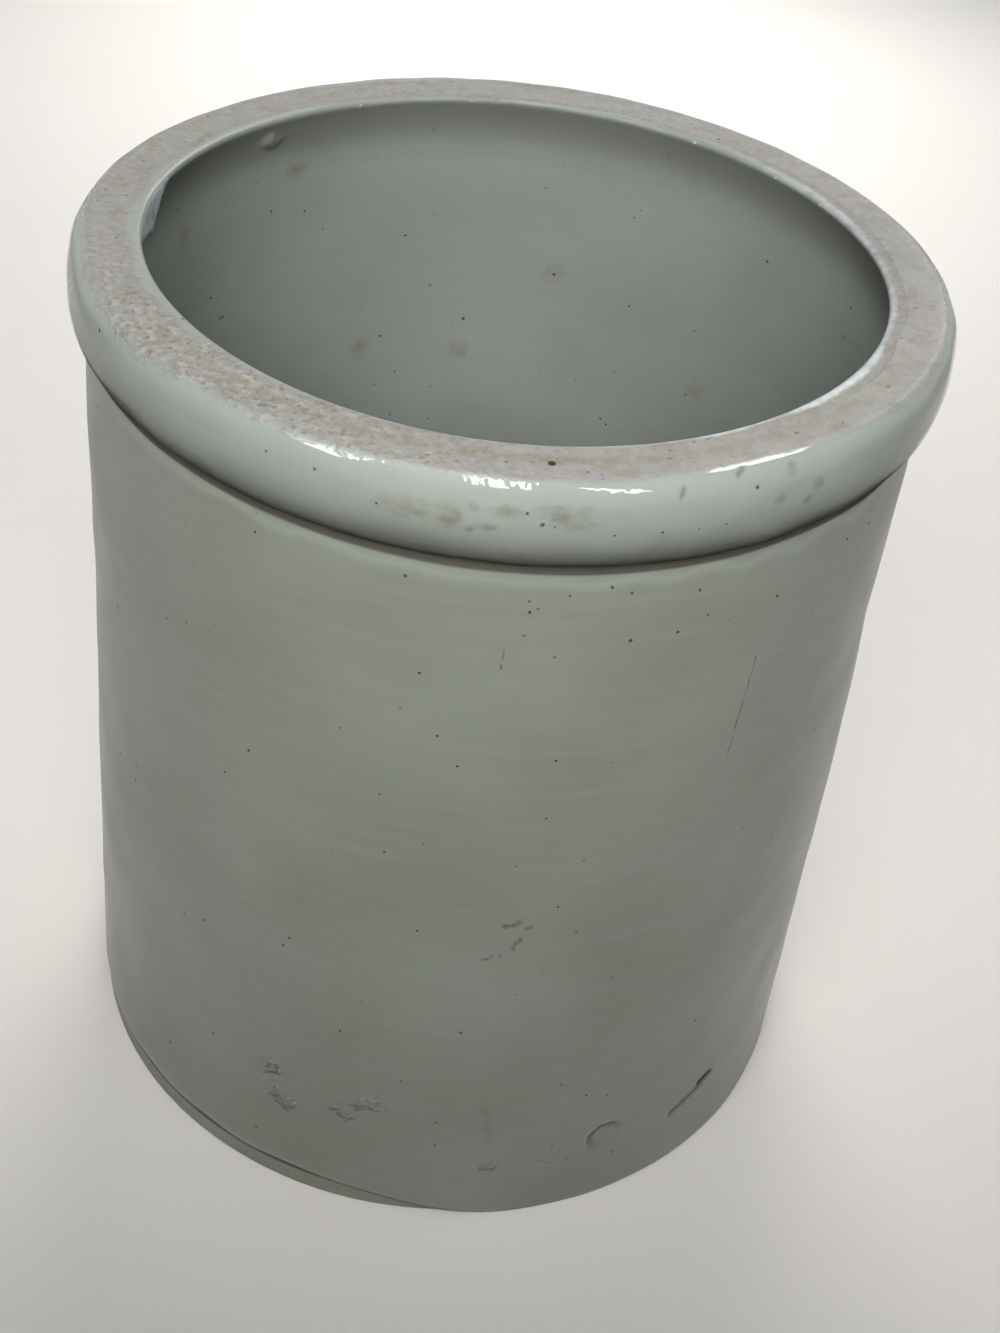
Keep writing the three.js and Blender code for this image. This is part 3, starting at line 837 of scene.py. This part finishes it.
def lining_coat():
    """The glaze inside: floor, cove, ringed wall and the lip, which it laps over, most on the left."""
    cove = (inside_radius(FLOOR_TOP + COVE_RADIUS) - COVE_RADIUS, FLOOR_TOP + COVE_RADIUS)
    heights = np.linspace(cove[1], WALL_TOP, num=92)
    lap = [(LAND_INNER + LAP_WIDTH, RIM_TOP), (LAND_INNER, RIM_TOP)]
    lip = even(np.r_[lap, lip_face(0)[1:]], step=1 * MM)
    wall = np.stack([inside_radius(heights), heights], -1)[::-1]
    bend = even(arc(cove, COVE_RADIUS, COVE_RADIUS, start=0, end=-90), step=2 * MM)
    floor = even([bend[-1], (0, FLOOR_TOP)], step=6.5 * MM)
    front = np.r_[lip, wall[1:], bend[1:], floor[1:]]
    back_wall = np.stack([inside_radius(heights) + COAT_BACK, heights], -1)[::HIDDEN_STRIDE]
    back_lip = even(lip_face(COAT_BACK)[::-1], step=8 * MM)
    back_lap = [(LAND_INNER + LAP_WIDTH, RIM_TOP - COAT_BACK)]
    under = [(0, FLOOR_TOP - COAT_BACK), (cove[0], FLOOR_TOP - COAT_BACK)]
    section = np.r_[under, back_wall, back_lip[1:], back_lap, front]
    coat = Turning(section, LINING_TURNS, LINING_CROWDING, capped=True)
    along = coat.height + RING_RADIUS_SHARE * coat.radius
    rings = waves(coat.angle, along, seed=24, turns=1, length=RING_SPACING)
    coat.push(RING_DEPTH * rings * smooth(LIP_EDGE, WALL_TOP, coat.height))
    lapped = LAP_LEAST + LAP_MORE * near_angle(coat, LAP_ANGLE) ** 2
    lapped = lapped + LAP_RIGHT * near_angle(coat, LAP_RIGHT_ANGLE)
    line = LAND_INNER + lapped + LAP_SWAY * waves(coat.angle, 0, seed=33, turns=24, length=1)
    on_top = smooth(RIM_TOP - 3.5 * MM, RIM_TOP - 2 * MM, coat.height)
    coat.height = coat.height - EDGE_DIP * on_top * smooth(line - EDGE_RUN, line + EDGE_RUN, coat.radius)
    coat.paint("bare", on_top * np.clip(1 - (line - EDGE_RUN - coat.radius) / fade_length(coat), 0, 1))
    # A painted highlight along the lip's rounded edge
    edge = smooth(LIP_EDGE - 1 * MM, LIP_EDGE + 1 * MM, coat.height)
    edge = edge * smooth(line, line - 2 * MM, coat.radius)
    coat.paint("lip_highlight", LIP_HIGHLIGHT_STRENGTH * edge * near_angle(coat, LIP_HIGHLIGHT_ANGLE) ** LIP_HIGHLIGHT_POWER)
    coat.paint("crust", crusty(coat))
    coat.push(DRIP_HEIGHT * blot(coat, DRIP_AT, DRIP_SIZE, seed=18, uneven=0.1))
    chip = lip_chip(coat)
    coat.radius = coat.radius + (MOUTH_RADIUS - inside_radius(coat.height)) * chip
    coat.paint("chip", chip)
    under_lip = (LIP_EDGE - coat.height) / UNDERCUT_DROP
    under_lip = smooth(*LIP_SHADE_TOP, under_lip) * smooth(*LIP_SHADE_END, under_lip)
    coat.paint("shade", LIP_SHADE * under_lip * (1 - chip))
    for seed, pixel in enumerate(INSIDE_STAINS_AT, start=60):
        coat.paint("stain", STAIN_STRENGTH * blot(coat, pixel, INSIDE_STAIN_SIZE, seed))
    specks = places(coat, INSIDE_SPECKS_AT)
    look = glaze("lining_glaze", LINING_PALE, LINING_DEEP, LINING_ROUGHNESS, LINING_RELIEF, specks)
    coat.piece("lining_coat", "inside_glaze", look)


def foot_slab():
    """The slab at the bottom: its edge shows under the wall's coat."""
    rounding = arc((FOOT_RADIUS - FOOT_ROUND, FOOT_ROUND), FOOT_ROUND, FOOT_ROUND, start=-90, end=0)
    edge = even(np.r_[rounding, [(FOOT_RADIUS, SEAM)]], step=0.8 * MM)
    plug = inside_radius(FLOOR_TOP) - COVE_RADIUS
    under = even([(0, 0), (FOOT_RADIUS - FOOT_ROUND, 0)], step=10 * MM)
    top = [(plug, SEAM), (plug, FLOOR_TOP - CLAY_BEHIND), (0, FLOOR_TOP - CLAY_BEHIND)]
    slab = Turning(np.r_[under, edge[1:], top], WALL_TURNS, WALL_CROWDING, capped=True)
    shows = seam_shows(slab)
    tucked = FOOT_CUT * shows + FOOT_COVER * (1 - shows)
    slab.radius = slab.radius - tucked * smooth(0.9 * FOOT_RADIUS, 0.95 * FOOT_RADIUS, slab.radius)
    slab.paint("bare", smooth(FOOT_RADIUS - 1.5 * MM, FOOT_RADIUS - 4 * MM, slab.radius))
    sway = waves(slab.angle, slab.height, seed=41, turns=40, length=20 * MM)
    slab.paint("stain", FOOT_DIRT + FOOT_DIRT_SWAY * sway)
    slab.paint("shade", LEDGE_SHADE * shows * smooth(SEAM - 3 * MM, SEAM - 1 * MM, slab.height))
    look = glaze("foot_clay", WALL_PALE, WALL_DEEP, FOOT_ROUGHNESS, WALL_RELIEF)
    slab.piece("foot_slab", "base_slab", look)


def clay_wall():
    """The clay of the wall, hidden between the coats."""
    heights = np.linspace(SEAM, WALL_TOP, num=24)
    outside = np.stack([wall_radius(heights) - CLAY_BEHIND - GROOVE_TUCK, heights], -1)
    inside = np.stack([inside_radius(heights) + CLAY_BEHIND, heights], -1)
    wall = Turning(np.r_[outside, inside[::-1]], HIDDEN_TURNS)
    wall.piece("clay_wall", "wall", clay("body_clay"))


# Stage, light and camera

FLOOR_SIZE = 8
FLOOR_FADE = 1.3, 3
FLOOR_ROUGHNESS, FLOOR_RELIEF = 0.7, 0.1 * MM
FLOOR_COLOUR = tint(230, 225, 218)
FLOOR_CLOUD = tint(237, 233, 227)
FLOOR_BOUNCE = tint(112, 92, 72)
BACKDROP_COLOUR = tint(222, 222, 222)
ROOM_COLOUR = tint(232, 238, 246)
ROOM_LIGHT = 0.16


def pale_floor():
    """A wide plain floor, which runs into the backdrop far off."""
    half = FLOOR_SIZE / 2
    mesh = bpy.data.meshes.new("floor")
    corners = [(-half, -half, 0), (half, -half, 0), (half, half, 0), (-half, half, 0)]
    mesh.from_pydata(corners, [], [(0, 1, 2, 3)])
    paint = Painter("floor")
    colour = paint.mix(paint.noise(0.4), FLOOR_COLOUR, FLOOR_CLOUD)
    seen = paint.seen()
    colour = paint.mix(seen, FLOOR_BOUNCE, colour)
    far = paint.step(paint.vector("LENGTH", paint.place, (0, 0, 0), 1), *FLOOR_FADE)
    far = paint.math("MULTIPLY", far, seen)
    colour = paint.mix(far, colour, (0, 0, 0, 1))
    paint.set(paint.shader.inputs["Emission Color"], BACKDROP_COLOUR)
    paint.set(paint.shader.inputs["Emission Strength"], far)
    normal = paint.bump(paint.noise(4 * MM), FLOOR_RELIEF)
    mesh.materials.append(paint.finish(colour, FLOOR_ROUGHNESS, normal))
    floor = linked("floor", mesh)


def pale_room():
    """Even light from all round, with a pale backdrop for the camera and for reflections."""
    world = bpy.data.worlds.new("pale_room")
    world.use_nodes = True
    world.node_tree.nodes.clear()
    nodes = Nodes(world.node_tree)
    light = nodes.node("ShaderNodeBackground", {"Color": ROOM_COLOUR, "Strength": ROOM_LIGHT}).outputs[0]
    backdrop = nodes.node("ShaderNodeBackground", {"Color": BACKDROP_COLOUR}).outputs[0]
    shown = nodes.node("ShaderNodeMixShader", {0: nodes.seen(), 1: light, 2: backdrop}).outputs[0]
    nodes.node("ShaderNodeOutputWorld", {0: shown})
    bpy.context.scene.world = world


def panel(name, turn, width, height, brightness):
    """A flat soft light, placed by its matrix and given by how bright its face looks."""
    data = bpy.data.lights.new(name, "AREA")
    data.shape = "RECTANGLE"
    data.size, data.size_y = width, height
    data.energy = brightness * math.pi * width * height
    light = linked(name, data)
    light.matrix_world = turn
    light.visible_camera = False
    return light


def facing(place, target):
    """The matrix of a light at a place that shines at a target."""
    turn = (Vector(target) - Vector(place)).to_track_quat("-Z", "Y")
    return Matrix.Translation(place) @ turn.to_matrix().to_4x4()


def windows(roll):
    """Bright panes that only show in the glaze, placed where the roll mirrors them at the pixels named."""
    for name, (pixel, width, height, panes) in WINDOWS.items():
        spot = Spot(roll, pixel)
        sight = spot.place - CAMERA_PLACE
        sight = sight / np.linalg.norm(sight)
        mirrored = sight - 2 * (sight @ spot.normal) * spot.normal
        middle = facing(spot.place + WINDOW_DISTANCE * mirrored, spot.place)
        for pane in range(panes):
            shift = width * ((pane + 0.5) / panes - 0.5)
            turn = middle @ Matrix.Translation((shift, 0, 0))
            shine = panel(f"window_{name}_{pane}", turn, PANE_SHARE * width / panes, height, WINDOW_LIGHT)
            shine.visible_diffuse = False


def soft_lights():
    """Soft lights from the front, from above and from behind, which don't show in the glaze."""
    for name, (place, target, size, brightness, spread) in SOFT_LIGHTS.items():
        light = panel(name, facing(place, target), *size, brightness)
        light.data.spread = math.radians(spread)
        light.visible_glossy = False


def photo_camera():
    """The camera of the photograph."""
    data = bpy.data.cameras.new("camera")
    data.lens = FOCAL_PIXELS * SENSOR_MM / PHOTO_HEIGHT
    data.sensor_width = SENSOR_MM
    camera = linked("camera", data)
    turn = np.eye(4)
    turn[:3, :3] = np.stack([RIGHT, UP, -FORWARD], -1)
    turn[:3, 3] = CAMERA_PLACE
    camera.matrix_world = Matrix(turn.tolist())
    bpy.context.scene.camera = camera


photo_camera()
foot_slab()
clay_wall()
wall_coat()
roll = rim_coat()
bare_rim()
lining_coat()
pale_floor()
pale_room()
windows(roll)
soft_lights()
bpy.context.scene.view_settings.view_transform = "Standard"
